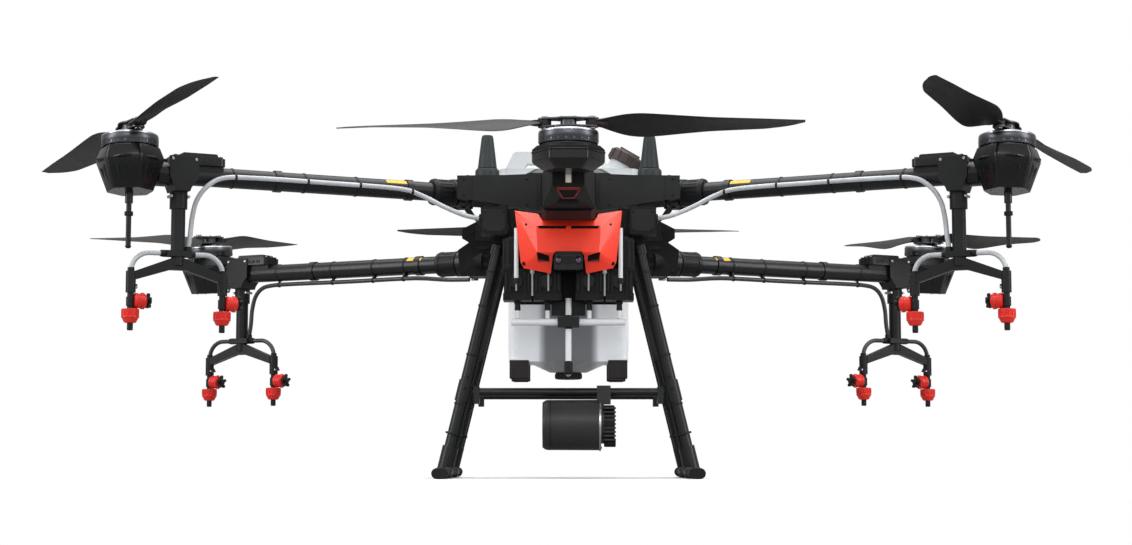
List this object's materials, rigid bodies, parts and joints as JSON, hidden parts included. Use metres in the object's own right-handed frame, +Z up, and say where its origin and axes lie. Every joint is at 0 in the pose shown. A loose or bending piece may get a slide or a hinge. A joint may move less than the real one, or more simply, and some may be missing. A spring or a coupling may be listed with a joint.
{
  "type": "agricultural spray drone",
  "caption": "Six-rotor agricultural spray drone with folding side arms, folding blades, drop spray booms with twin nozzles, lift-out tank and battery, and tube landing gear.",
  "frame": {"origin": "on the ground, in the middle of the footprint of the resting rotors, 18 mm behind the airframe's own centre", "axes": "+Z up, +Y towards the tail, +X towards the drone's left-hand side seen from above with the nose down the page"},
  "size_m": [2.169, 1.6287, 0.7047],
  "materials": {
    "frame_black": "satin",
    "gloss_black": "gloss",
    "carbon": "satin",
    "cover_red": "satin",
    "nozzle_red": "gloss",
    "tank_white": "satin",
    "cap_brown": "matt",
    "pipe_white": "satin",
    "hose_clear": "gloss",
    "hose_black": "satin",
    "motor_metal": "satin",
    "blade_grey": "satin",
    "pin_steel": "satin",
    "battery_grey": "matt",
    "radar_black": "satin"
  },
  "bodies": {
    "airframe": {"main_frame": "frame_black", "front_beam": "frame_black", "top_cover": "gloss_black", "front_cover": "cover_red", "lamp_module": "gloss_black", "spray_pumps": "frame_black", "feed_manifold": "pipe_white", "position_antennas": "frame_black", "landing_legs": "carbon", "landing_skids": "frame_black", "cross_tubes": "carbon", "radar_unit": "radar_black", "fold_pins": "pin_steel"},
    "tank": {"spray_tank": "tank_white"},
    "cap": {"tank_cap": "cap_brown"},
    "battery_pack": {"battery": "battery_grey"},
    "nose": {"nose_arm": "gloss_black"},
    "tail": {"tail_arm": "gloss_black"},
    "arm_fl": {"arm_tube_fl": "carbon", "motor_pod_fl": "gloss_black", "spray_boom_fl": "frame_black", "nozzle_set_fl": "nozzle_red", "spray_hose_fl": "hose_clear"},
    "collar_fl": {"lock_collar_fl": "frame_black"},
    "arm_fr": {"arm_tube_fr": "carbon", "motor_pod_fr": "gloss_black", "spray_boom_fr": "frame_black", "nozzle_set_fr": "nozzle_red", "spray_hose_fr": "hose_clear"},
    "collar_fr": {"lock_collar_fr": "frame_black"},
    "arm_rl": {"arm_tube_rl": "carbon", "motor_pod_rl": "gloss_black", "spray_boom_rl": "frame_black", "nozzle_set_rl": "nozzle_red", "spray_hose_rl": "hose_black"},
    "collar_rl": {"lock_collar_rl": "frame_black"},
    "arm_rr": {"arm_tube_rr": "carbon", "motor_pod_rr": "gloss_black", "spray_boom_rr": "frame_black", "nozzle_set_rr": "nozzle_red", "spray_hose_rr": "hose_black"},
    "collar_rr": {"lock_collar_rr": "frame_black"},
    "rotor_nose": {"rotor_hub_nose": "motor_metal"},
    "blade_a_nose": {"blade_a_nose": "blade_grey"},
    "blade_b_nose": {"blade_b_nose": "blade_grey"},
    "rotor_tail": {"rotor_hub_tail": "motor_metal"},
    "blade_a_tail": {"blade_a_tail": "blade_grey"},
    "blade_b_tail": {"blade_b_tail": "blade_grey"},
    "rotor_fl": {"rotor_hub_fl": "motor_metal"},
    "blade_a_fl": {"blade_a_fl": "blade_grey"},
    "blade_b_fl": {"blade_b_fl": "blade_grey"},
    "rotor_fr": {"rotor_hub_fr": "motor_metal"},
    "blade_a_fr": {"blade_a_fr": "blade_grey"},
    "blade_b_fr": {"blade_b_fr": "blade_grey"},
    "rotor_rl": {"rotor_hub_rl": "motor_metal"},
    "blade_a_rl": {"blade_a_rl": "blade_grey"},
    "blade_b_rl": {"blade_b_rl": "blade_grey"},
    "rotor_rr": {"rotor_hub_rr": "motor_metal"},
    "blade_a_rr": {"blade_a_rr": "blade_grey"},
    "blade_b_rr": {"blade_b_rr": "blade_grey"}
  },
  "joints": [
    {"name": "tank_lift", "type": "slide", "parent": "airframe", "child": "tank", "axis": [0, 0, 1], "range_m": [0, 0.35]},
    {"name": "tank_cap_twist", "type": "hinge", "parent": "tank", "child": "cap", "pos_m": [0.104, 0.022, 0.643], "axis": [0.5, 0, 0.866], "range_deg": [0, 120]},
    {"name": "battery_lift", "type": "slide", "parent": "airframe", "child": "battery_pack", "axis": [0, 0, 1], "range_m": [0, 0.3]},
    {"name": "nose_arm_fold", "type": "hinge", "parent": "airframe", "child": "nose", "pos_m": [0, -0.328, 0.525], "axis": [1, 0, 0], "range_deg": [0, 45]},
    {"name": "tail_arm_fold", "type": "hinge", "parent": "airframe", "child": "tail", "pos_m": [0, 0.292, 0.49], "axis": [-1, 0, 0], "range_deg": [0, 45]},
    {"name": "arm_fold_fl", "type": "hinge", "parent": "airframe", "child": "arm_fl", "pos_m": [-0.23937, -0.09952, 0.583], "axis": [0, 0, -1], "range_deg": [0, 30], "deforming": ["spray_hose_fl"]},
    {"name": "collar_slide_fl", "type": "slide", "parent": "arm_fl", "child": "collar_fl", "axis": [-0.8874, -0.461, 0], "range_m": [0, 0.03]},
    {"name": "arm_fold_fr", "type": "hinge", "parent": "airframe", "child": "arm_fr", "pos_m": [0.23937, -0.09952, 0.583], "axis": [0, 0, 1], "range_deg": [0, 30], "deforming": ["spray_hose_fr"]},
    {"name": "collar_slide_fr", "type": "slide", "parent": "arm_fr", "child": "collar_fr", "axis": [0.8874, -0.461, 0], "range_m": [0, 0.03]},
    {"name": "arm_fold_rl", "type": "hinge", "parent": "airframe", "child": "arm_rl", "pos_m": [-0.20434, 0.13096, 0.461], "axis": [0, 0, -1], "range_deg": [0, 35], "deforming": ["spray_hose_rl"]},
    {"name": "collar_slide_rl", "type": "slide", "parent": "arm_rl", "child": "collar_rl", "axis": [-0.8874, 0.461, 0], "range_m": [0, 0.03]},
    {"name": "arm_fold_rr", "type": "hinge", "parent": "airframe", "child": "arm_rr", "pos_m": [0.20434, 0.13096, 0.461], "axis": [0, 0, 1], "range_deg": [0, 35], "deforming": ["spray_hose_rr"]},
    {"name": "collar_slide_rr", "type": "slide", "parent": "arm_rr", "child": "collar_rr", "axis": [0.8874, 0.461, 0], "range_m": [0, 0.03]},
    {"name": "rotor_spin_nose", "type": "hinge", "parent": "nose", "child": "rotor_nose", "pos_m": [0, -0.7055, 0.595], "axis": [0, 0, 1], "continuous": true},
    {"name": "blade_fold_a_nose", "type": "hinge", "parent": "rotor_nose", "child": "blade_a_nose", "pos_m": [0.0419, -0.70843, 0.635], "axis": [0, 0, 1], "range_deg": [-80, 80]},
    {"name": "blade_fold_b_nose", "type": "hinge", "parent": "rotor_nose", "child": "blade_b_nose", "pos_m": [-0.0419, -0.70257, 0.635], "axis": [0, 0, 1], "range_deg": [-80, 80]},
    {"name": "rotor_spin_tail", "type": "hinge", "parent": "tail", "child": "rotor_tail", "pos_m": [0, 0.6695, 0.56], "axis": [0, 0, 1], "continuous": true},
    {"name": "blade_fold_a_tail", "type": "hinge", "parent": "rotor_tail", "child": "blade_a_tail", "pos_m": [0.042, 0.6695, 0.6], "axis": [0, 0, 1], "range_deg": [-80, 80]},
    {"name": "blade_fold_b_tail", "type": "hinge", "parent": "rotor_tail", "child": "blade_b_tail", "pos_m": [-0.042, 0.6695, 0.6], "axis": [0, 0, 1], "range_deg": [-80, 80]},
    {"name": "rotor_spin_fl", "type": "hinge", "parent": "arm_fl", "child": "rotor_fl", "pos_m": [-0.8355, -0.45201, 0.628], "axis": [-0.0378, 0.0727, 0.9966], "continuous": true},
    {"name": "blade_fold_a_fl", "type": "hinge", "parent": "rotor_fl", "child": "blade_a_fl", "pos_m": [-0.8142, -0.4842, 0.67129], "axis": [-0.0378, 0.0727, 0.9966], "range_deg": [-80, 80]},
    {"name": "blade_fold_b_fl", "type": "hinge", "parent": "rotor_fl", "child": "blade_b_fl", "pos_m": [-0.85982, -0.414, 0.66444], "axis": [-0.0378, 0.0727, 0.9966], "range_deg": [-80, 80]},
    {"name": "rotor_spin_fr", "type": "hinge", "parent": "arm_fr", "child": "rotor_fr", "pos_m": [0.8355, -0.45201, 0.628], "axis": [0.0378, 0.0727, 0.9966], "continuous": true},
    {"name": "blade_fold_a_fr", "type": "hinge", "parent": "rotor_fr", "child": "blade_a_fr", "pos_m": [0.8142, -0.4842, 0.67129], "axis": [0.0378, 0.0727, 0.9966], "range_deg": [-80, 80]},
    {"name": "blade_fold_b_fr", "type": "hinge", "parent": "rotor_fr", "child": "blade_b_fr", "pos_m": [0.85982, -0.414, 0.66444], "axis": [0.0378, 0.0727, 0.9966], "range_deg": [-80, 80]},
    {"name": "rotor_spin_rl", "type": "hinge", "parent": "arm_rl", "child": "rotor_rl", "pos_m": [-0.8355, 0.41601, 0.506], "axis": [-0.0378, -0.0727, 0.9966], "continuous": true},
    {"name": "blade_fold_a_rl", "type": "hinge", "parent": "rotor_rl", "child": "blade_a_rl", "pos_m": [-0.82134, 0.45192, 0.54929], "axis": [-0.0378, -0.0727, 0.9966], "range_deg": [-80, 80]},
    {"name": "blade_fold_b_rl", "type": "hinge", "parent": "rotor_rl", "child": "blade_b_rl", "pos_m": [-0.85268, 0.37428, 0.54244], "axis": [-0.0378, -0.0727, 0.9966], "range_deg": [-80, 80]},
    {"name": "rotor_spin_rr", "type": "hinge", "parent": "arm_rr", "child": "rotor_rr", "pos_m": [0.8355, 0.41601, 0.506], "axis": [0.0378, -0.0727, 0.9966], "continuous": true},
    {"name": "blade_fold_a_rr", "type": "hinge", "parent": "rotor_rr", "child": "blade_a_rr", "pos_m": [0.82134, 0.45192, 0.54929], "axis": [0.0378, -0.0727, 0.9966], "range_deg": [-80, 80]},
    {"name": "blade_fold_b_rr", "type": "hinge", "parent": "rotor_rr", "child": "blade_b_rr", "pos_m": [0.85268, 0.37428, 0.54244], "axis": [0.0378, -0.0727, 0.9966], "range_deg": [-80, 80]}
  ]
}
